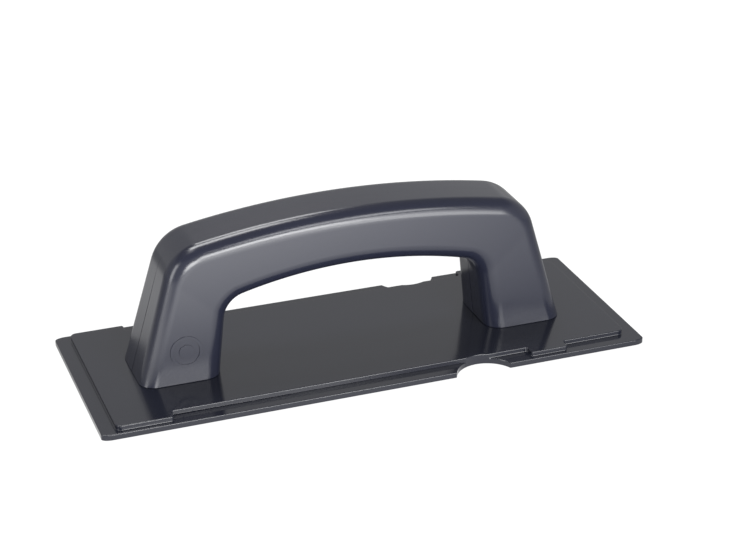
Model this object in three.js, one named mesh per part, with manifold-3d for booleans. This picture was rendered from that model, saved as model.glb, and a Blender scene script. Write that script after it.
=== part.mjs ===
// A hand sanding block: a moulded base plate that interchangeable pads clip onto, and a hollow
// D-shaped handle of two half shells, screwed to the plate from below and to each other from
// the back. Millimetres, +Z up, +X along the plate towards its release notches, +Y to the back.
// The origin is the centre of the plate's underside.
import * as THREE from "three";
import { mergeVertices } from "three/addons/utils/BufferGeometryUtils.js";
import Module from "manifold-3d";

const wasm = await Module();
wasm.setup();

// Driving dimensions.
const CLEARANCE = 0.3; // between neighbouring pieces
const PLATE = { length: 280, width: 104, thickness: 3, corner: 5, edge: 0.4 };
const DECK = { top: 5.4, halfLength: 132.5, halfWidth: 43.8, corner: 3 };
// The deck is wider at its stop tabs: one at the left end, one between the notch and the right end.
const TAB = { halfWidth: 49.5, corner: 1, leftEnd: -105, rightSpan: [78.5, 98] };
const NOTCH = { x: 51.5, y: 58.2, radius: 15.6 };
const CORING = { halfLength: 128, halfWidth: 40, depth: 2.6, rib: 2.4, columns: 10, rows: 4 };

const HANDLE = {
  x: -2, // middle of the handle along the plate
  gripHalfWidth: 18, // above flareTop
  footHalfWidth: 20.7, // at Z = 0
  flareTop: 60,
  outerEdge: 8, // rounding where the sides meet the top and the ends
  innerEdge: 6.5, // rounding where the sides meet the finger gap
};
// Half of the handle's outline in the XZ plane: a crest arc, a corner arc and a leaning foot line.
const OUTER = { crest: 81, crestRadius: 437.5, cornerRadius: 23.4, foot: 110.9, lean: 16.1 };
const INNER = { crest: 52, crestRadius: 237, cornerRadius: 12.6, foot: 69.9, lean: 6.9 };
const SHELL = { wall: 2.6, rib: 1.6, ribDepth: 12, ribs: [-52, -27, 27, 52] };
const LAND = { height: 2, inner: 73, outer: 107.1, halfWidth: 17.2, corner: 6 };

const SCREW = { headRadius: 3.4, headHeight: 2.4, shankRadius: 1.5, length: 17, tip: 2.5 };
const SCREW_HOLE = { radius: 1.8, counterbore: 4 };
const BOSS_RADIUS = 4.2;
const BASE_SCREW = { x: 89, y: 9.5, headSeat: 3.4 };
const SIDE_SCREW = { seat: 9, bossRadius: 5.6, spots: { left: [-83, 44], middle: [0, 66.5], right: [83, 44] } };
const LOCATOR = { radius: 1.5, hole: 1.85, reach: 3.6, depth: 6, spots: [[-60, 62], [60, 62]] };

// Mesh fineness.
const ROUND_STEPS = 4; // per quarter turn of an edge rounding
const CREST_STEPS = 6;
const CORNER_STEPS = 6;
const FOOT_STEPS = 3;
const CIRCLE_STEPS = 24;
const SCREW_STEPS = 16;

const MATERIALS = {
  plate: { color: 0x2a2d33, roughness: 0.3, metalness: 0 },
  handle: { color: 0x30333b, roughness: 0.28, metalness: 0 },
  screw: { color: 0x9a9ca0, roughness: 0.35, metalness: 0.9 },
};

// Solids and booleans.
function solidFrom(geometry) {
  const bare = geometry.index ? geometry.toNonIndexed() : geometry.clone();
  bare.deleteAttribute("normal");
  bare.deleteAttribute("uv");
  const merged = mergeVertices(bare, 1e-4);
  return new wasm.Manifold(
    new wasm.Mesh({
      numProp: 3,
      vertProperties: merged.attributes.position.array,
      triVerts: new Uint32Array(merged.index.array),
    }),
  );
}

function geometryFrom(solid) {
  const { vertProperties, triVerts } = solid.getMesh();
  const indexed = new THREE.BufferGeometry();
  indexed.setAttribute("position", new THREE.BufferAttribute(vertProperties, 3));
  indexed.setIndex(new THREE.BufferAttribute(triVerts, 1));
  const flat = indexed.toNonIndexed();
  flat.computeVertexNormals();
  return flat;
}

function block([x0, x1], [y0, y1], [z0, z1]) {
  const geometry = new THREE.BoxGeometry(x1 - x0, y1 - y0, z1 - z0);
  return solidFrom(geometry.translate((x0 + x1) / 2, (y0 + y1) / 2, (z0 + z1) / 2));
}

// An upright cylinder at (x, y), and one along Y at (x, z).
function post(radius, x, y, [z0, z1]) {
  const geometry = new THREE.CylinderGeometry(radius, radius, z1 - z0, CIRCLE_STEPS);
  return solidFrom(geometry.rotateX(Math.PI / 2).translate(x, y, (z0 + z1) / 2));
}

function crossPost(radius, x, z, [y0, y1]) {
  const geometry = new THREE.CylinderGeometry(radius, radius, y1 - y0, CIRCLE_STEPS);
  return solidFrom(geometry.translate(x, (y0 + y1) / 2, z));
}

// A closed outline through [x, y, radius] corners, each one rounded by its radius.
function roundedOutline(corners) {
  const shape = new THREE.Shape();
  const at = corners.map(([x, y]) => new THREE.Vector2(x, y));
  corners.forEach(([, , radius], index) => {
    const corner = at[index];
    const [before, after] = [at.at(index - 1), at[(index + 1) % at.length]].map((neighbour) =>
      neighbour.clone().sub(corner).setLength(radius).add(corner));
    if (index === 0)
      shape.moveTo(before.x, before.y);
    else
      shape.lineTo(before.x, before.y);
    shape.quadraticCurveTo(corner.x, corner.y, after.x, after.y);
  });
  shape.closePath();
  return shape;
}

function rectangle(x0, x1, halfWidth, corner) {
  return roundedOutline([
    [x0, -halfWidth, corner], [x1, -halfWidth, corner], [x1, halfWidth, corner], [x0, halfWidth, corner]]);
}

function deckOutline() {
  const { halfLength, halfWidth, corner } = DECK;
  const [tabStart, tabEnd] = TAB.rightSpan;
  const front = [
    [-halfLength, -TAB.halfWidth, corner],
    [TAB.leftEnd, -TAB.halfWidth, TAB.corner], [TAB.leftEnd, -halfWidth, TAB.corner],
    [tabStart, -halfWidth, TAB.corner], [tabStart, -TAB.halfWidth, TAB.corner],
    [tabEnd, -TAB.halfWidth, TAB.corner], [tabEnd, -halfWidth, TAB.corner],
    [halfLength, -halfWidth, corner],
  ];
  const back = front.map(([x, y, radius]) => [x, -y, radius]).reverse();
  return roundedOutline([...front, ...back]);
}

// A slab of a flat outline with chamfered top and bottom edges.
function slab(shape, z0, z1, edge) {
  const geometry = new THREE.ExtrudeGeometry(shape, {
    depth: z1 - z0 - 2 * edge,
    bevelThickness: edge,
    bevelSize: edge,
    bevelOffset: -edge,
    bevelSegments: 1,
    bevelEnabled: edge > 0,
    curveSegments: 5,
  });
  return solidFrom(geometry.translate(0, 0, z0 + edge));
}

const joinAll = (solids) => solids.reduce((sum, solid) => sum.add(solid));
const bothSides = [-1, 1];

// The base plate: a thin rim, a raised deck with the pads' stop tabs, two lands that the feet
// fit over, release notches in both long edges, screw holes and a cored-out underside.
function basePlate() {
  const { length, width, thickness, corner, edge } = PLATE;
  const rim = slab(rectangle(-length / 2, length / 2, width / 2, corner), 0, thickness, edge);
  const raised = [slab(deckOutline(), 1, DECK.top, edge)];
  for (const side of bothSides) {
    const [near, far] = [side * LAND.inner, side * LAND.outer].sort((a, b) => a - b);
    const land = rectangle(HANDLE.x + near, HANDLE.x + far, LAND.halfWidth, LAND.corner);
    raised.push(slab(land, thickness, DECK.top + LAND.height, edge));
  }
  return joinAll([rim, ...raised])
    .subtract(coring())
    .subtract(joinAll([...releaseNotches(), ...baseScrewHoles()]));
}

function releaseNotches() {
  return bothSides.map((side) => post(NOTCH.radius, NOTCH.x, side * NOTCH.y, [-1, DECK.top + 1]));
}

function baseScrewSpots() {
  return bothSides.flatMap((sx) => bothSides.map((sy) => [HANDLE.x + sx * BASE_SCREW.x, sy * BASE_SCREW.y]));
}

function baseScrewHoles() {
  return baseScrewSpots().flatMap(([x, y]) => [
    post(SCREW_HOLE.counterbore, x, y, [-1, BASE_SCREW.headSeat]),
    post(SCREW_HOLE.radius, x, y, [-1, DECK.top + LAND.height + 1]),
  ]);
}

// Shallow pockets under the deck, which keep clear of the screws.
function coring() {
  const { halfLength, halfWidth, depth, rib, columns, rows } = CORING;
  const [stepX, stepY] = [(2 * halfLength) / columns, (2 * halfWidth) / rows];
  const pockets = [];
  for (let column = 0; column < columns; column++)
    for (let row = 0; row < rows; row++) {
      const [x, y] = [column * stepX - halfLength, row * stepY - halfWidth];
      pockets.push(block([x + rib / 2, x + stepX - rib / 2], [y + rib / 2, y + stepY - rib / 2], [-1, depth]));
    }
  const kept = baseScrewSpots().map(([x, y]) => post(SCREW_HOLE.counterbore + rib, x, y, [-2, depth + 1]));
  return joinAll(pockets).subtract(joinAll(kept));
}

// Half of one outline of the handle, from the crest to below the plate, as [point, normal] pairs.
function halfOutline({ crest, crestRadius, cornerRadius, foot, lean }) {
  const tilt = THREE.MathUtils.degToRad(lean);
  const up = new THREE.Vector2(-Math.sin(tilt), Math.cos(tilt));
  const out = new THREE.Vector2(Math.cos(tilt), Math.sin(tilt));
  const crestCentre = new THREE.Vector2(0, crest - crestRadius);
  const footPoint = new THREE.Vector2(foot, DECK.top);
  // The corner arc touches the foot line and the crest arc from inside.
  const start = footPoint.clone().addScaledVector(out, -cornerRadius).sub(crestCentre);
  const along = start.dot(up);
  const rise = -along + Math.sqrt(along ** 2 - start.lengthSq() + (crestRadius - cornerRadius) ** 2);
  const cornerCentre = start.addScaledVector(up, rise).add(crestCentre);
  const meeting = cornerCentre.clone().sub(crestCentre).angle();
  const points = [];
  const arc = (centre, radius, from, to, steps, first) => {
    for (let step = first; step <= steps; step++) {
      const angle = THREE.MathUtils.lerp(from, to, step / steps);
      const normal = new THREE.Vector2(Math.cos(angle), Math.sin(angle));
      points.push([centre.clone().addScaledVector(normal, radius), normal]);
    }
  };
  arc(crestCentre, crestRadius, Math.PI / 2, meeting, CREST_STEPS, 0);
  arc(cornerCentre, cornerRadius, meeting, tilt, CORNER_STEPS, 1);
  const lineTop = points.at(-1)[0];
  const lineEnd = footPoint.clone().addScaledVector(up, -2 * DECK.top);
  for (let step = 1; step <= FOOT_STEPS; step++)
    points.push([lineTop.clone().lerp(lineEnd, step / FOOT_STEPS), out]);
  return points;
}

// The whole outline, from the left foot over the crest to the right foot.
function fullOutline(dimensions) {
  const right = halfOutline(dimensions);
  const mirrored = right.slice(1).reverse()
    .map(([p, n]) => [new THREE.Vector2(-p.x, p.y), new THREE.Vector2(-n.x, n.y)]);
  return [...mirrored, ...right];
}

function halfWidthAt(z) {
  const share = THREE.MathUtils.clamp((HANDLE.flareTop - z) / HANDLE.flareTop, 0, 1);
  return THREE.MathUtils.lerp(HANDLE.gripHalfWidth, HANDLE.footHalfWidth, share);
}

// The handle's form as one solid, every face set in by the same amount.
function handleForm(inset) {
  const outer = fullOutline(OUTER);
  const inner = fullOutline(INNER);
  const outerEdge = HANDLE.outerEdge - inset;
  const innerEdge = HANDLE.innerEdge - inset;
  // One corner of a section: depth below the face and distance in from the side.
  const rounding = (radius) => Array.from({ length: ROUND_STEPS + 1 }, (_, step) => {
    const angle = (step / ROUND_STEPS) * (Math.PI / 2);
    return [inset + radius * (1 - Math.cos(angle)), radius * (1 - Math.sin(angle))];
  });
  const spots = [
    ...rounding(outerEdge).map(([depth, side]) => ["outer", depth, side]),
    ...rounding(innerEdge).reverse().map(([depth, side]) => ["inner", depth, side]),
  ];
  const loop = [...spots.map((spot) => [...spot, -1]), ...spots.reverse().map((spot) => [...spot, 1])];
  const positions = [];
  for (let station = 0; station < outer.length; station++)
    for (const [face, depth, side, sign] of loop) {
      const [point, normal] = face === "outer" ? outer[station] : inner[station];
      const into = face === "outer" ? -depth : depth;
      const x = point.x + normal.x * into;
      const z = point.y + normal.y * into;
      positions.push(HANDLE.x + x, sign * (halfWidthAt(z) - inset - side), z);
    }
  const count = loop.length;
  const last = (outer.length - 1) * count;
  const faces = [];
  for (let station = 0; station + 1 < outer.length; station++)
    for (let k = 0; k < count; k++) {
      const a = station * count + k;
      const b = station * count + ((k + 1) % count);
      faces.push(a, b, a + count, b, b + count, a + count);
    }
  for (let k = 1; k + 1 < count; k++)
    faces.push(0, k + 1, k, last, last + k, last + k + 1);
  const geometry = new THREE.BufferGeometry();
  geometry.setAttribute("position", new THREE.Float32BufferAttribute(positions, 3));
  geometry.setIndex(faces);
  return solidFrom(geometry);
}

// Everything on one side of the parting plane and above the deck.
function halfSpace(side) {
  const far = 200;
  const inY = [side * (CLEARANCE / 2), side * far].sort((a, b) => a - b);
  return block([-far, far], inY, [DECK.top + CLEARANCE, far]);
}

function handleShell(side) {
  const form = handleForm(0);
  const backing = handleForm(1).intersect(halfSpace(side)); // where ribs and bosses may grow
  const inY = (near, far) => [side * near, side * far].sort((a, b) => a - b);
  const parting = CLEARANCE / 2;
  const reach = HANDLE.footHalfWidth;
  const isBack = side > 0;
  const inside = SHELL.ribs.map((x) =>
    block([HANDLE.x + x - SHELL.rib / 2, HANDLE.x + x + SHELL.rib / 2],
      inY(reach - SHELL.ribDepth, reach), [INNER.crest - 10, OUTER.crest]));
  const holes = [];
  const bossBottom = DECK.top + LAND.height + CLEARANCE;
  for (const [x, y] of baseScrewSpots().filter(([, y]) => y * side > 0)) {
    const top = BASE_SCREW.headSeat + SCREW.length + 4;
    inside.push(post(BOSS_RADIUS, x, y, [bossBottom, top]));
    inside.push(block([x - SHELL.rib / 2, x + SHELL.rib / 2], inY(Math.abs(y), reach), [bossBottom, top]));
    holes.push(post(SCREW_HOLE.radius, x, y, [bossBottom - 1, top - 2]));
  }
  for (const [x, z] of Object.values(SIDE_SCREW.spots)) {
    const radius = isBack ? SIDE_SCREW.bossRadius : BOSS_RADIUS;
    inside.push(crossPost(radius, HANDLE.x + x, z, inY(parting, reach)));
    holes.push(crossPost(SCREW_HOLE.radius, HANDLE.x + x, z, isBack ? [-1, reach] : [-SIDE_SCREW.seat, 1]));
    if (isBack)
      holes.push(crossPost(SCREW_HOLE.counterbore, HANDLE.x + x, z, [SIDE_SCREW.seat, reach + 5]));
  }
  for (const [x, z] of LOCATOR.spots) {
    inside.push(crossPost(2 * LOCATOR.hole, HANDLE.x + x, z, inY(parting, reach)));
    if (isBack)
      holes.push(crossPost(LOCATOR.hole, HANDLE.x + x, z, [-1, LOCATOR.depth]));
  }
  let shell = form.intersect(halfSpace(side)).subtract(handleForm(SHELL.wall));
  shell = shell.add(joinAll(inside).intersect(backing)).subtract(joinAll(holes));
  if (isBack)
    return shell;
  const pins = LOCATOR.spots.map(([x, z]) => crossPost(LOCATOR.radius, HANDLE.x + x, z, [-2, LOCATOR.reach]));
  return shell.add(joinAll(pins));
}

// A pan-head screw pointing along +Z, its head's bearing face at Z = 0, with a cross recess.
function screwSolid() {
  const { headRadius, headHeight, shankRadius, length, tip } = SCREW;
  const profile = [
    [0, -headHeight], [headRadius * 0.6, -headHeight], [headRadius * 0.9, -headHeight * 0.75],
    [headRadius, -headHeight * 0.4], [headRadius, 0], [shankRadius, 0],
    [shankRadius, length - tip], [0, length],
  ].map(([x, y]) => new THREE.Vector2(x, y));
  const lathe = new THREE.LatheGeometry(profile, SCREW_STEPS).rotateX(Math.PI / 2);
  const [slotLong, slotWide, slotDeep] = [headRadius * 0.6, headRadius * 0.15, headHeight * 0.6];
  const inZ = [-headHeight - 1, -headHeight + slotDeep];
  const cross = block([-slotLong, slotLong], [-slotWide, slotWide], inZ)
    .add(block([-slotWide, slotWide], [-slotLong, slotLong], inZ));
  return solidFrom(lathe).subtract(cross);
}

function makeMesh(name, solid, look) {
  const mesh = new THREE.Mesh(geometryFrom(solid), new THREE.MeshStandardMaterial(look));
  mesh.name = name;
  return mesh;
}

const sandingBlock = new THREE.Group();
sandingBlock.add(
  makeMesh("base_plate", basePlate(), MATERIALS.plate),
  makeMesh("handle_front_shell", handleShell(-1), MATERIALS.handle),
  makeMesh("handle_back_shell", handleShell(1), MATERIALS.handle),
);
baseScrewSpots().forEach(([x, y], index) => {
  const screw = makeMesh(`base_screw_${index + 1}`, screwSolid(), MATERIALS.screw);
  screw.position.set(x, y, BASE_SCREW.headSeat - CLEARANCE);
  sandingBlock.add(screw);
});
for (const [name, [x, z]] of Object.entries(SIDE_SCREW.spots)) {
  const screw = makeMesh(`handle_screw_${name}`, screwSolid(), MATERIALS.screw);
  screw.rotation.x = Math.PI / 2; // points to the front
  screw.position.set(HANDLE.x + x, SIDE_SCREW.seat + CLEARANCE, z);
  sandingBlock.add(screw);
}

export default sandingBlock;
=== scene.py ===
"""A hand sanding block: a thin moulded plate that abrasive pads clip onto, with a hollow bow handle of
two half shells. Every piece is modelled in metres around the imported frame: +X along the plate towards
its release notches, +Y to the back, +Z up, origin at the centre of the plate's underside."""
import math

import bmesh
import bpy
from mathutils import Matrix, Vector


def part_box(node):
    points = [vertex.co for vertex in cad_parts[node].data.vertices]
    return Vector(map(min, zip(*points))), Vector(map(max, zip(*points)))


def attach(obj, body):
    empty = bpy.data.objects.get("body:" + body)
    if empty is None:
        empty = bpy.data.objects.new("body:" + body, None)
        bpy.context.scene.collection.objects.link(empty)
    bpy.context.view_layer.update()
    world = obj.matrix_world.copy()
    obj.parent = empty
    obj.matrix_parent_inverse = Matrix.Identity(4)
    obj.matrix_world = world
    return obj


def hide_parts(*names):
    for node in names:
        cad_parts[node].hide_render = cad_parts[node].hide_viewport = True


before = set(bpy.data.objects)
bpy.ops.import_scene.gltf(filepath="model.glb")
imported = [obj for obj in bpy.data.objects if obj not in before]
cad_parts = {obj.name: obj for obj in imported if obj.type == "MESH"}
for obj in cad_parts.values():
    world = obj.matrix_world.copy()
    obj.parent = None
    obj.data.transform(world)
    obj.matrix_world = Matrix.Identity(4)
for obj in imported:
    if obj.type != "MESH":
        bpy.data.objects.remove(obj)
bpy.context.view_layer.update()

MM = 0.001
NEAR = 0.1  # how near an edge has to be to a named place, in millimetres
PLATE_LOW, PLATE_HIGH = (Vector(corner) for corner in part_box("base_plate"))
HANDLE_LOW, HANDLE_HIGH = (Vector(corner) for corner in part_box("handle_front_shell"))
HANDLE_X = (HANDLE_LOW.x + HANDLE_HIGH.x) / 2

# The plate, in millimetres.
RIM = 3.0  # thickness of the rim
DECK_TOP = 5.4
DECK_HALF_LENGTH = 132.5
DECK_HALF_WIDTH = 43.8
TAB_HALF_WIDTH = 49.5
TAB_ENDS = (-105.0, 78.5, 98.0)  # where the left tab ends, and where the right tab starts and ends
NOTCH = (51.5, 58.2, 15.6)  # x, distance from the middle line, radius
PLATE_CORNER = 5.5
DECK_CORNERS = {"left": 3.0, "right": 3.5}
TAB_CORNER = 1.2
PLATE_EDGE = 0.4
POCKETS = {"columns": 10, "rows": 4, "rib": 2.4, "half_length": 128.0, "half_width": 40.0, "depth": 2.6,
           "corner": 1.5}
CORNER_STEPS = 10

# The handle, in millimetres, measured from its own middle.
JOINT = 0.3  # gap between neighbouring pieces
GRIP_HALF_WIDTH = 18.0
FOOT_HALF_WIDTH = 20.7
FLARE_TOP = 60.0
OUTER = {"crest": 80.95, "crest_radius": 437.5, "corner_radius": 21.8, "foot": 110.9, "lean": 16.1}
INNER = {"crest": 51.4, "crest_radius": 237.0, "corner_radius": 12.6, "foot": 69.9, "lean": 6.9}
OUTER_EDGE = 8.0
INNER_EDGE = 9.0
EDGE_STEPS = 12
ARC_STEPS = 20
LEG_STEPS = 26
WALL = 2.6
SHELL_EDGE = 0.09
SEAM = {"crest": 0.02, "foot": 0.5, "crest_level": 66.0, "foot_level": 45.0}  # width of the parting line
FOOT_FLARE = {"height": 9.0, "reach": 0.45}
EMBLEM = {"x": -88.0, "z": 22.0, "radius": 8.0, "band": 1.4, "boss_radius": 3.6, "raised": 0.5}

# The screws, in millimetres: places from the middle of the handle, and how deep their heads sit.
BASE_SCREWS = [(end * 89.0, side * 9.5) for end in (-1, 1) for side in (-1, 1)]
SIDE_SCREWS = ((-83.0, 44.0), (0.0, 66.5), (83.0, 44.0))
COUNTERBORE = 4.0
BASE_SEAT = 3.4
SIDE_SEAT = 9.0
BOSS_RADIUS = 5.6
SCREW = {"head_radius": 3.35, "head_height": 2.35, "head_round": 1.3, "shank_radius": 1.35,
         "thread_radius": 1.5, "pitch": 1.1, "length": 16.9, "point": 3.5, "edge": 0.1}
RECESS = {"length": 4.2, "width": 1.0, "depth": 1.5, "length_taper": 0.45, "width_taper": 0.8}
FIRST_TURN, NEXT_TURN = 17, 53  # degrees that the cross of the first screw is turned, and each next one more

# The studio, in metres. The floor glows with its own light, a share of FLOOR_PEAK: to the camera it is even, and
# what the plastic mirrors is dim with wide brighter pools of painted light, each an x, a y, a reach and a share.
FLOOR_SIZE = 12.0
FLOOR_PEAK = 6.0
FLOOR_BASE = 0.05
FLOOR_SEEN = 0.155
FLOOR_LIGHT_POOLS = (
    (-0.10, -0.22, 0.14, 0.46), (0.07, -0.22, 0.14, 0.30),
    (0.05, -0.48, 0.20, 0.60), (0.10, -0.95, 0.42, 0.90),
    (-0.28, -0.13, 0.07, 0.60), (-0.45, -0.21, 0.11, 0.60), (-0.80, -0.37, 0.25, 0.60),
    (-0.22, 0.16, 0.12, 0.10))
HORIZON = (0.50, 0.66)  # place along the sky's ramp, grey
UPPER_SKY = (0.66, 0.28)
# Each soft box: azimuth from +Y towards +X and elevation in degrees, width, height, watts.
LAMP_DISTANCE = 1.6
LAMP_TARGET = Vector((0, 0, 0.04))
SOFT_BOXES = {
    "front_left_box": (190, 10, 0.50, 0.50, 14.0),
    "front_box": (172, 24, 0.56, 0.39, 12.8),
    "front_low_box": (172, 8, 0.55, 0.45, 4.8),
    "front_right_box": (155, 10, 0.46, 0.56, 7.0),
    "front_right_upper_box": (154, 26, 0.45, 0.39, 2.6),
    "front_high_box": (158, 44, 0.72, 0.25, 5.5),
    "left_strip": (252, 17, 0.44, 0.95, 8.0),
    "back_strip": (8, 48, 0.50, 0.34, 4.6),
    "overhead_box": (345, 70, 0.82, 0.42, 12.0),
    "overhead_left_box": (290, 71, 0.82, 0.34, 2.4)}
CAMERA_ANGLES = (-20.34, 25.92)  # azimuth and elevation in degrees
CAMERA_DISTANCE = 1.0491
CAMERA_TARGET = Vector((0.0343, 0.0692, 0))
SENSOR_WIDTH, FOCAL_LENGTH = 36, 95.3


# ---------------------------------------------------------------- modelling helpers

def start_piece(name, add_primitive, **settings):
    """Adds a primitive as a new piece, alone selected and open in edit mode."""
    bpy.ops.object.select_all(action="DESELECT")
    add_primitive(**settings)
    piece = bpy.context.object
    piece.name = piece.data.name = name
    bpy.ops.object.mode_set(mode="EDIT")
    return piece


def finish_editing():
    bpy.ops.object.mode_set(mode="OBJECT")
    return bpy.context.object


def reopen(piece):
    bpy.ops.object.select_all(action="DESELECT")
    piece.select_set(True)
    bpy.context.view_layer.objects.active = piece
    bpy.ops.object.mode_set(mode="EDIT")


def pick(kind, test):
    """Selects only the verts, edges or faces of the open piece that pass a test."""
    bpy.ops.mesh.select_mode(type={"verts": "VERT", "edges": "EDGE", "faces": "FACE"}[kind])
    bpy.ops.mesh.select_all(action="DESELECT")
    mesh = bmesh.from_edit_mesh(bpy.context.object.data)
    mesh.normal_update()
    for part in getattr(mesh, kind):
        if test(part):
            part.select_set(True)
    mesh.select_flush_mode()
    bmesh.update_edit_mesh(bpy.context.object.data)


def pick_all():
    bpy.ops.mesh.select_all(action="SELECT")


def middle(part):
    return sum((vert.co for vert in part.verts), Vector()) / len(part.verts)


def push(x=0.0, y=0.0, z=0.0):
    bpy.ops.mesh.extrude_region_move(TRANSFORM_OT_translate={"value": (x, y, z)})


def cut(co, normal, **options):
    pick_all()
    bpy.ops.mesh.bisect(plane_co=co, plane_no=normal, **options)


def tidy_normals():
    pick_all()
    bpy.ops.mesh.remove_doubles(threshold=1e-6)
    bpy.ops.mesh.normals_make_consistent(inside=False)


def modify(piece, kind, **settings):
    """Adds a modifier and applies it."""
    bpy.ops.object.select_all(action="DESELECT")
    piece.select_set(True)
    bpy.context.view_layer.objects.active = piece
    modifier = piece.modifiers.new(kind.title(), kind)
    for key, value in settings.items():
        setattr(modifier, key, value)
    bpy.ops.object.modifier_apply(modifier=modifier.name)


def combine(piece, tool, operation):
    """Cuts a piece by a tool body, or joins the tool body to it; the tool is then gone."""
    modify(piece, "BOOLEAN", object=tool, operation=operation, solver="EXACT")
    bpy.data.meshes.remove(tool.data)
    put_in_order(piece)


def put_in_order(piece):
    """Sorts a body's parts by their places, because a boolean leaves them in a new order on each run."""
    def corners(part):
        return sorted(vert.index for vert in part.verts)
    reopen(piece)
    mesh = bmesh.from_edit_mesh(piece.data)
    for parts, place in ((mesh.verts, lambda vert: tuple(vert.co)), (mesh.edges, corners), (mesh.faces, corners)):
        for rank, part in enumerate(sorted(parts, key=place)):
            part.index = rank
        parts.sort()
    bmesh.update_edit_mesh(piece.data)
    finish_editing()


def round_bar(radius, length, centre, segments, rotation=(0, 0, 0)):
    start_piece("bar", bpy.ops.mesh.primitive_cylinder_add, vertices=segments, radius=radius * MM,
                depth=length * MM, rotation=rotation, location=Vector(centre) * MM)
    bar = finish_editing()
    bpy.ops.object.transform_apply(location=True, rotation=True, scale=True)
    return bar


def post(radius, x, y, z0, z1, segments=64):
    """An upright round bar, in millimetres."""
    return round_bar(radius, z1 - z0, (x, y, (z0 + z1) / 2), segments)


def cross_post(radius, x, z, y0, y1, segments=64):
    """A round bar along Y, in millimetres."""
    return round_bar(radius, y1 - y0, (x, (y0 + y1) / 2, z), segments, (math.pi / 2, 0, 0))


def polish(piece, edge, segments=2, angle=40, clamp=True):
    """Breaks every sharp edge of a finished body and gives it smooth shading with flat faces kept flat."""
    modify(piece, "BEVEL", width=edge * MM, segments=segments, limit_method="ANGLE",
           angle_limit=math.radians(angle), use_clamp_overlap=clamp, miter_outer="MITER_ARC")
    piece.data.polygons.foreach_set("use_smooth", [True] * len(piece.data.polygons))
    modify(piece, "WEIGHTED_NORMAL", weight=100, keep_sharp=False)


# ---------------------------------------------------------------- the base plate

def make_plate():
    """Rim and deck from one sheet: cut along the deck's outline, raised twice, then notched and cored."""
    size = PLATE_HIGH - PLATE_LOW
    plate = start_piece("plate_moulding", bpy.ops.mesh.primitive_plane_add, size=1)
    pick_all()
    bpy.ops.transform.resize(value=(size.x, size.y, 1))
    for x in (-DECK_HALF_LENGTH, *TAB_ENDS, DECK_HALF_LENGTH):
        cut((x * MM, 0, 0), (1, 0, 0))
    for y in (DECK_HALF_WIDTH, TAB_HALF_WIDTH):
        for side in (-1, 1):
            cut((0, side * y * MM, 0), (0, 1, 0))
    pick_all()
    push(z=RIM * MM)
    pick("faces", lambda face: face.normal.z > 0.5 and on_deck(middle(face) / MM))
    push(z=(DECK_TOP - RIM) * MM)
    tidy_normals()
    round_upright_edges(PLATE_CORNER, lambda at: is_at(at, size.x / 2 / MM, size.y / 2 / MM))
    round_upright_edges(DECK_CORNERS["left"],
                        lambda at: at.x < 0 and is_at(at, DECK_HALF_LENGTH, TAB_HALF_WIDTH))
    round_upright_edges(DECK_CORNERS["right"],
                        lambda at: at.x > 0 and is_at(at, DECK_HALF_LENGTH, DECK_HALF_WIDTH))
    round_upright_edges(TAB_CORNER, lambda at: min(abs(at.x - x) for x in TAB_ENDS) < NEAR and at.z > RIM)
    finish_editing()
    x, y, radius = NOTCH
    for side in (-1, 1):
        combine(plate, post(radius, x, side * y, -2, DECK_TOP + 2, 128), "DIFFERENCE")
    combine(plate, coring_pockets(), "DIFFERENCE")
    for x, y in BASE_SCREWS:
        combine(plate, post(COUNTERBORE, HANDLE_X / MM + x, y, -1, BASE_SEAT), "DIFFERENCE")
    reopen(plate)
    pick_all()
    bpy.ops.mesh.dissolve_limited(angle_limit=math.radians(0.5))
    finish_editing()
    polish(plate, PLATE_EDGE, segments=4, angle=30, clamp=False)
    return plate


def on_deck(at):
    """Whether a face's middle, in millimetres, lies inside the deck's outline with its tabs."""
    left_end, right_start, right_end = TAB_ENDS
    on_tab = at.x < left_end or right_start < at.x < right_end
    return abs(at.x) < DECK_HALF_LENGTH and abs(at.y) < (TAB_HALF_WIDTH if on_tab else DECK_HALF_WIDTH)


def is_at(at, half_length, half_width):
    """Whether a place in millimetres is a corner of a rectangle round the plate's middle."""
    return abs(abs(at.x) - half_length) < NEAR and abs(abs(at.y) - half_width) < NEAR


def round_upright_edges(radius, is_chosen):
    """Rounds the upright edges of the open piece whose middle, in millimetres, is chosen."""
    def is_wanted(edge):
        one, two = (vert.co for vert in edge.verts)
        is_upright = abs(one.x - two.x) + abs(one.y - two.y) < 1e-6
        return is_upright and edge.calc_face_angle(0) > 0.5 and is_chosen(middle(edge) / MM)
    pick("edges", is_wanted)
    bpy.ops.mesh.bevel(offset=radius * MM, segments=CORNER_STEPS, profile=0.5, affect="EDGES",
                       clamp_overlap=False)


def coring_pockets():
    """Rows of shallow pockets under the deck, as one body that keeps clear of the screws."""
    half_length, half_width, depth = POCKETS["half_length"], POCKETS["half_width"], POCKETS["depth"]
    step_x, step_y = 2 * half_length / POCKETS["columns"], 2 * half_width / POCKETS["rows"]
    rib = POCKETS["rib"]
    start_piece("pocket", bpy.ops.mesh.primitive_cube_add, size=1)
    bpy.ops.transform.resize(value=((step_x - rib) * MM, (step_y - rib) * MM, 2 * depth * MM))
    bpy.ops.transform.translate(
        value=((step_x / 2 - half_length) * MM, (step_y / 2 - half_width) * MM, 0))
    pick("edges", lambda edge: abs(edge.verts[0].co.z - edge.verts[1].co.z) > MM)
    bpy.ops.mesh.bevel(offset=POCKETS["corner"] * MM, segments=3, affect="EDGES")
    pockets = finish_editing()
    for count, offset in ((POCKETS["columns"], (step_x * MM, 0, 0)), (POCKETS["rows"], (0, step_y * MM, 0))):
        modify(pockets, "ARRAY", count=count, use_relative_offset=False,
               use_constant_offset=True, constant_offset_displace=offset)
    for x, y in BASE_SCREWS:
        combine(pockets, post(COUNTERBORE + rib, HANDLE_X / MM + x, y, -5, depth + 2, 32), "DIFFERENCE")
    return pockets


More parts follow.
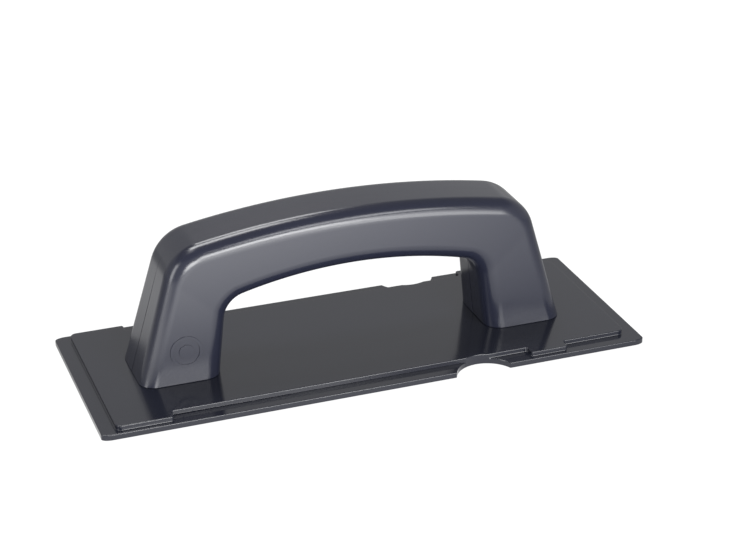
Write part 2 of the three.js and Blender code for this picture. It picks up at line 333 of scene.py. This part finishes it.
# ---------------------------------------------------------------- the handle

def draw_outline(shape, y):
    """Draws half of an outline as a chain of edges: crest arc, corner arc, then the leaning foot line."""
    lean = math.radians(shape["lean"])
    out = Vector((math.cos(lean), 0, math.sin(lean)))
    up = Vector((-math.sin(lean), 0, math.cos(lean)))
    crest_centre = Vector((0, y, shape["crest"] - shape["crest_radius"]))
    foot = Vector((shape["foot"], y, DECK_TOP))
    reach = foot - out * shape["corner_radius"] - crest_centre
    along = reach.dot(up)
    rise = -along + math.sqrt(
        along ** 2 - reach.length_squared + (shape["crest_radius"] - shape["corner_radius"]) ** 2)
    corner_centre = crest_centre + reach + up * rise
    arm = corner_centre - crest_centre
    crest_sweep = math.atan2(arm.x, arm.z)
    corner_sweep = math.pi / 2 - crest_sweep - lean
    line_top = corner_centre + out * shape["corner_radius"]
    line_end = foot - up * 2 * DECK_TOP

    bpy.ops.mesh.select_mode(type="VERT")
    bpy.ops.mesh.select_all(action="DESELECT")
    bpy.ops.mesh.primitive_plane_add(size=MM, location=Vector((0, y, shape["crest"])) * MM)
    bpy.ops.mesh.merge(type="CENTER")
    bpy.ops.mesh.spin(steps=ARC_STEPS, angle=crest_sweep, center=crest_centre * MM, axis=(0, -1, 0))
    bpy.ops.mesh.spin(steps=ARC_STEPS, angle=corner_sweep, center=corner_centre * MM, axis=(0, -1, 0))
    for _ in range(LEG_STEPS):
        push(*((line_end - line_top) * MM / LEG_STEPS))


def make_skin(name):
    """The outside of the front half of the handle as an open sheet with its rounded edges."""
    parting = -JOINT / 2
    start_piece(name, bpy.ops.mesh.primitive_plane_add, size=MM)
    pick_all()
    bpy.ops.mesh.delete(type="VERT")
    draw_outline(OUTER, parting)
    draw_outline(INNER, parting)
    bpy.ops.mesh.select_mode(type="EDGE")
    pick_all()
    bpy.ops.mesh.bridge_edge_loops()
    pick_all()
    push(y=-(GRIP_HALF_WIDTH + parting) * MM)
    pick("faces", lambda face: abs(face.normal.y) > 0.9 and middle(face).y > -MM)
    bpy.ops.mesh.delete(type="ONLY_FACE")
    pick("faces", lambda face: all(vert.co.x < 1e-6 for vert in face.verts))
    bpy.ops.mesh.delete(type="ONLY_FACE")
    pick("faces", lambda face: all(vert.co.z < 1e-3 for vert in face.verts))
    bpy.ops.mesh.delete(type="ONLY_FACE")
    skin = finish_editing()
    modify(skin, "MIRROR", use_axis=(True, False, False), merge_threshold=1e-6)
    reopen(skin)
    bpy.ops.mesh.select_mode(type="EDGE")
    tidy_normals()
    mesh = bmesh.from_edit_mesh(skin.data)
    for vert in mesh.verts:
        z = vert.co.z / MM
        vert.co.y = -(half_width(z) if vert.co.y < -MM else seam(z) / 2) * MM
    bmesh.update_edit_mesh(skin.data)
    for radius, is_outer in ((OUTER_EDGE, True), (INNER_EDGE, False)):
        pick("edges", lambda edge: is_long_edge(edge, is_outer))
        bpy.ops.mesh.bevel(offset=radius * MM, segments=EDGE_STEPS, profile=0.5,
                           affect="EDGES", clamp_overlap=False, loop_slide=True)
    pick_all()
    bpy.ops.transform.translate(value=(HANDLE_X, 0, 0))
    return finish_editing()


def half_width(z):
    """The grip's half width, widening evenly down the legs and curling outwards just above the deck."""
    share = min(max((FLARE_TOP - z) / FLARE_TOP, 0), 1)
    curl = min(max((DECK_TOP + FOOT_FLARE["height"] - z) / FOOT_FLARE["height"], 0), 1)
    return GRIP_HALF_WIDTH + (FOOT_HALF_WIDTH - GRIP_HALF_WIDTH) * share + FOOT_FLARE["reach"] * curl ** 2


def seam(z):
    """The parting line's width at a height: tight over the crest, opening a little down the legs."""
    share = min(max((SEAM["crest_level"] - z) / (SEAM["crest_level"] - SEAM["foot_level"]), 0), 1)
    return SEAM["crest"] + (SEAM["foot"] - SEAM["crest"]) * share


def is_long_edge(edge, is_outer):
    """An edge between the side face and the wall round the outside, or round the finger gap."""
    if len(edge.link_faces) != 2:
        return False
    walls = [face for face in edge.link_faces if abs(face.normal.y) < 0.5]
    if len(walls) != 1:
        return False
    at = middle(edge)
    away = walls[0].normal.x * at.x + walls[0].normal.z * (at.z - 30 * MM)
    return (away > 0) == is_outer


def make_shell(skin, side):
    """Thickens a skin inwards and cuts its feet level, just clear of the deck; side is 1 at the back."""
    modify(skin, "SOLIDIFY", thickness=WALL * MM, offset=-1)
    reopen(skin)
    cut((0, 0, (DECK_TOP + JOINT) * MM), (0, 0, 1), clear_inner=True, use_fill=True)
    finish_editing()
    if side > 0:
        for place, z in SIDE_SCREWS:
            x = HANDLE_X / MM + place
            combine(skin, cross_post(BOSS_RADIUS, x, z, JOINT / 2, GRIP_HALF_WIDTH - 1), "UNION")
            combine(skin, cross_post(COUNTERBORE, x, z, SIDE_SEAT, 2 * FOOT_HALF_WIDTH), "DIFFERENCE")
    else:
        add_emblem(skin)
    polish(skin, SHELL_EDGE)
    return skin


def add_emblem(shell):
    """A plain raised ring round a small boss, moulded on the near face of the left leg."""
    x, z, radius = HANDLE_X / MM + EMBLEM["x"], EMBLEM["z"], EMBLEM["radius"]
    tilt = math.atan((FOOT_HALF_WIDTH - GRIP_HALF_WIDTH) / FLARE_TOP)
    face = half_width(z)
    for outer, inner in ((radius, radius - EMBLEM["band"]), (EMBLEM["boss_radius"], 0)):
        ring = cross_post(outer, x, z, -face - EMBLEM["raised"], -face + 1, 96)
        if inner:
            combine(ring, cross_post(inner, x, z, -face - 2, -face + 2, 96), "DIFFERENCE")
        reopen(ring)
        pick_all()
        turn(-tilt, "X", Vector((x, -face, z)) * MM)
        finish_editing()
        combine(shell, ring, "UNION")


def make_screw():
    """A pan-head screw with a cross recess, head down: its bearing face is at z = 0 and it points up."""
    head, height, shank = SCREW["head_radius"], SCREW["head_height"], SCREW["shank_radius"]
    screw = start_piece("screw", bpy.ops.mesh.primitive_cylinder_add, vertices=48, radius=head * MM,
                        depth=height * MM, location=(0, 0, -height / 2 * MM))
    pick("edges", lambda edge: all(vert.co.z < 0 for vert in edge.verts))
    bpy.ops.mesh.bevel(offset=SCREW["head_round"] * MM, segments=6, profile=0.5, affect="EDGES")
    finish_editing()
    bpy.ops.object.transform_apply(location=True, rotation=True, scale=True)
    for quarter in (0, 1):
        start_piece("recess", bpy.ops.mesh.primitive_cube_add, size=1, location=(0, 0, -height * MM))
        pick_all()
        bpy.ops.transform.resize(
            value=(RECESS["length"] * MM, RECESS["width"] * MM, 2 * RECESS["depth"] * MM))
        pick("faces", lambda face: face.normal.z > 0.9)
        bpy.ops.transform.resize(
            value=(RECESS["length_taper"], RECESS["width_taper"], 1), center_override=(0, 0, 0))
        pick_all()
        turn(quarter * math.pi / 2, "Z")
        recess = finish_editing()
        bpy.ops.object.transform_apply(location=True, rotation=True, scale=True)
        combine(screw, recess, "DIFFERENCE")
    reopen(screw)
    pick("faces", lambda face: face.normal.z > 0.9 and middle(face).z > -0.1 * MM)
    bpy.ops.mesh.inset(thickness=(head - shank) * MM)
    swell = SCREW["thread_radius"] / shank
    z = 0.0
    while z < SCREW["length"] - SCREW["point"]:
        for rise, share in ((0.35, swell), (0.2, 1), (0.35, 1 / swell), (0.1, 1)):
            push(z=rise * SCREW["pitch"] * MM)
            bpy.ops.transform.resize(value=(share, share, 1), center_override=(0, 0, 0))
            z += rise * SCREW["pitch"]
    push(z=(SCREW["length"] - z) * MM)
    bpy.ops.transform.resize(value=(0.12, 0.12, 1), center_override=(0, 0, 0))
    finish_editing()
    polish(screw, SCREW["edge"])
    return screw


def turn(angle, axis, about=(0, 0, 0)):
    """Turns what is selected, right-handed."""
    bpy.ops.transform.rotate(value=-angle, orient_axis=axis, center_override=about)


def place_screws(pattern, steel):
    """Copies the screw into every seat: upwards under the plate, forwards from the back of the handle."""
    for count, name in enumerate(sorted(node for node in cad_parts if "screw" in node)):
        low, high = (Vector(corner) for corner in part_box(name))
        centre = (low + high) / 2
        screw = copy_piece(pattern, name.replace("screw", "pan_screw"))
        reopen(screw)
        pick_all()
        turn(math.radians(FIRST_TURN + NEXT_TURN * count), "Z")
        if name.startswith("base"):
            seat = Vector((centre.x, centre.y, low.z + SCREW["head_height"] * MM))
        else:
            turn(math.pi / 2, "X")
            seat = Vector((centre.x, high.y - SCREW["head_height"] * MM, centre.z))
        bpy.ops.transform.translate(value=seat)
        finish_editing()
        add_to_frame(screw, name, steel)
    bpy.data.meshes.remove(pattern.data)


def copy_piece(piece, name):
    twin = piece.copy()
    twin.data = piece.data.copy()
    twin.name = twin.data.name = name
    bpy.context.scene.collection.objects.link(twin)
    return twin


def mirrored_to_back(skin, name):
    back = copy_piece(skin, name)
    reopen(back)
    pick_all()
    bpy.ops.transform.resize(value=(1, -1, 1), center_override=(0, 0, 0))
    bpy.ops.mesh.flip_normals()
    finish_editing()
    return back


# ---------------------------------------------------------------- materials

class Wire:
    """A socket that does sums: each operator adds a Math node."""

    def __init__(self, nodes, socket):
        self.nodes = nodes
        self.socket = socket

    def _sum(self, operation, one, two):
        return self.nodes.add("ShaderNodeMath", {"operation": operation}, {0: one, 1: two})

    def __add__(self, other):
        return self._sum("ADD", self, other)

    def __radd__(self, other):
        return self._sum("ADD", other, self)

    def __sub__(self, other):
        return self._sum("SUBTRACT", self, other)

    def __rsub__(self, other):
        return self._sum("SUBTRACT", other, self)

    def __mul__(self, other):
        return self._sum("MULTIPLY", self, other)

    def __rmul__(self, other):
        return self._sum("MULTIPLY", other, self)


class Nodes:
    """One material's node tree."""

    def __init__(self, name):
        self.material = bpy.data.materials.new(name)
        self.material.use_nodes = True
        self.tree = self.material.node_tree
        self.tree.nodes.clear()

    def add(self, kind, settings=None, sockets=None, output=0):
        node = self.tree.nodes.new(kind)
        for key, value in (settings or {}).items():
            setattr(node, key, value)
        for key, value in (sockets or {}).items():
            if isinstance(value, Wire):
                self.tree.links.new(value.socket, node.inputs[key])
            else:
                node.inputs[key].default_value = value
        return Wire(self, node.outputs[output]) if node.outputs else node

    def surface(self, shader):
        self.add("ShaderNodeOutputMaterial", None, {"Surface": shader})
        return self.material


def moulded_plastic(name, color, roughness):
    """Semi-gloss moulded plastic: fine spark-eroded grain, a soft ripple and slightly uneven gloss."""
    nodes = Nodes(name)
    place = nodes.add("ShaderNodeTexCoord", output="Object")
    grain = nodes.add("ShaderNodeTexNoise", None, {"Vector": place, "Scale": 3200.0, "Detail": 2.0})
    ripple = nodes.add("ShaderNodeTexNoise", None, {"Vector": place, "Scale": 90.0, "Detail": 2.0})
    cloud = nodes.add("ShaderNodeTexNoise", None, {"Vector": place, "Scale": 24.0, "Detail": 3.0})
    darker = tuple(0.9 * part for part in color)
    base = nodes.add("ShaderNodeMix", {"data_type": "RGBA"},
                     {"Factor": cloud, 6: (*darker, 1), 7: (*color, 1)}, output=2)
    fine = nodes.add("ShaderNodeBump", None, {"Height": grain, "Strength": 0.12, "Distance": 0.00004})
    bump = nodes.add("ShaderNodeBump", None,
                     {"Height": ripple, "Strength": 0.15, "Distance": 0.00008, "Normal": fine})
    gloss = roughness - 0.03 + 0.05 * cloud + 0.02 * grain
    return nodes.surface(nodes.add("ShaderNodeBsdfPrincipled", None, {
        "Base Color": base, "Roughness": gloss, "Normal": bump, "IOR": 1.5}))


def zinc_steel():
    """Zinc-plated screw steel: bright, slightly blotched."""
    nodes = Nodes("zinc_plated_steel")
    place = nodes.add("ShaderNodeTexCoord", output="Object")
    blotch = nodes.add("ShaderNodeTexNoise", None, {"Vector": place, "Scale": 900.0, "Detail": 3.0})
    base = nodes.add("ShaderNodeMix", {"data_type": "RGBA"},
                     {"Factor": blotch, 6: (0.42, 0.42, 0.43, 1), 7: (0.62, 0.62, 0.6, 1)}, output=2)
    return nodes.surface(nodes.add("ShaderNodeBsdfPrincipled", None, {
        "Base Color": base, "Roughness": 0.25 + 0.15 * blotch, "Metallic": 1.0}))


def dress(piece, material):
    piece.data.materials.clear()
    piece.data.materials.append(material)


def add_to_frame(piece, node, material):
    """Gives a finished piece its material and lets it stand for its CAD node."""
    dress(piece, material)
    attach(piece, "root")
    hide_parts(node)


# ---------------------------------------------------------------- studio

def towards(azimuth, elevation):
    """A place on the ring of lamps, its azimuth counted from +Y towards +X."""
    around, up = math.radians(azimuth), math.radians(elevation)
    return LAMP_DISTANCE * Vector(
        (math.sin(around) * math.cos(up), math.cos(around) * math.cos(up), math.sin(up)))


def soft_box(name, azimuth, elevation, width, height, power):
    """A soft box on the ring of lamps, aimed at the handle."""
    light = bpy.data.lights.new(name, "AREA")
    light.shape = "RECTANGLE"
    light.size, light.size_y = width, height
    light.energy = power
    lamp = bpy.data.objects.new(name, light)
    bpy.context.scene.collection.objects.link(lamp)
    lamp.location = towards(azimuth, elevation)
    lamp.rotation_euler = (lamp.location - LAMP_TARGET).to_track_quat("Z", "Y").to_euler()


def make_floor():
    bpy.ops.object.select_all(action="DESELECT")
    bpy.ops.mesh.primitive_plane_add(size=FLOOR_SIZE)
    floor = bpy.context.object
    floor.name = "studio_floor"
    nodes = Nodes("glowing_floor_painted_light_pools")
    place = nodes.add("ShaderNodeTexCoord", output="Object")
    # The floor's glow: even to the camera, and painted pools of light where the plastic mirrors it.
    share = FLOOR_BASE
    for x, y, reach, peak in FLOOR_LIGHT_POOLS:
        away = nodes.add("ShaderNodeVectorMath", {"operation": "DISTANCE"},
                         {0: place, 1: (x, y, 0)}, output="Value")
        near = away * (1 / reach)
        share = share + peak * nodes.add("ShaderNodeMath", {"operation": "EXPONENT"}, {0: near * near * -1.0})
    seen = nodes.add("ShaderNodeLightPath", output="Is Camera Ray")
    share = share + seen * (FLOOR_SEEN - share)
    glow = nodes.add("ShaderNodeMix", {"data_type": "RGBA"},
                     {"Factor": share, 6: (0, 0, 0, 1), 7: (1, 1, 1, 1)}, output=2)
    dress(floor, nodes.surface(nodes.add("ShaderNodeBsdfPrincipled", None, {
        "Base Color": (0.1, 0.1, 0.1, 1), "Roughness": 0.9, "Specular IOR Level": 0.0,
        "Emission Color": glow, "Emission Strength": FLOOR_PEAK})))


def make_sky():
    """A grey surround, paler at the horizon than overhead."""
    world = bpy.data.worlds.new("studio")
    bpy.context.scene.world = world
    world.use_nodes = True
    tree = world.node_tree
    direction = tree.nodes.new("ShaderNodeTexCoord")
    split = tree.nodes.new("ShaderNodeSeparateXYZ")
    ramp = tree.nodes.new("ShaderNodeValToRGB")
    tree.links.new(direction.outputs["Generated"], split.inputs[0])
    tree.links.new(split.outputs["Z"], ramp.inputs["Fac"])
    tree.links.new(ramp.outputs["Color"], tree.nodes["Background"].inputs["Color"])
    for stop, (position, grey) in zip(ramp.color_ramp.elements, (HORIZON, UPPER_SKY)):
        stop.position, stop.color = position, (grey, grey, grey, 1)


def set_studio():
    make_floor()
    make_sky()
    for name, settings in SOFT_BOXES.items():
        soft_box(name, *settings)
    bpy.context.scene.view_settings.view_transform = "Standard"


def set_camera():
    azimuth, elevation = (math.radians(angle) for angle in CAMERA_ANGLES)
    back = Vector((math.sin(azimuth) * math.cos(elevation),
                   -math.cos(azimuth) * math.cos(elevation), math.sin(elevation)))
    lens = bpy.data.cameras.new("camera")
    lens.sensor_fit = "HORIZONTAL"
    lens.sensor_width = SENSOR_WIDTH
    lens.lens = FOCAL_LENGTH
    camera = bpy.data.objects.new("camera", lens)
    bpy.context.scene.collection.objects.link(camera)
    camera.location = CAMERA_TARGET + back * CAMERA_DISTANCE
    camera.rotation_euler = (math.pi / 2 - elevation, 0, azimuth)
    bpy.context.scene.camera = camera


# ---------------------------------------------------------------- assembly

handle_plastic = moulded_plastic("handle_plastic", (0.0102, 0.0114, 0.0205), 0.20)
plate_plastic = moulded_plastic("plate_plastic", (0.0098, 0.0108, 0.0168), 0.12)

plate = make_plate()
front_skin = make_skin("handle_half_front")
back_skin = mirrored_to_back(front_skin, "handle_half_back")
front = make_shell(front_skin, -1)
back = make_shell(back_skin, 1)
for piece, node, material, slot in (
        (plate, "base_plate", plate_plastic, "plate_plastic"),
        (front, "handle_front_shell", handle_plastic, "handle_plastic"),
        (back, "handle_back_shell", handle_plastic, "handle_plastic")):
    add_to_frame(piece, node, material)
place_screws(make_screw(), zinc_steel())

set_studio()
set_camera()
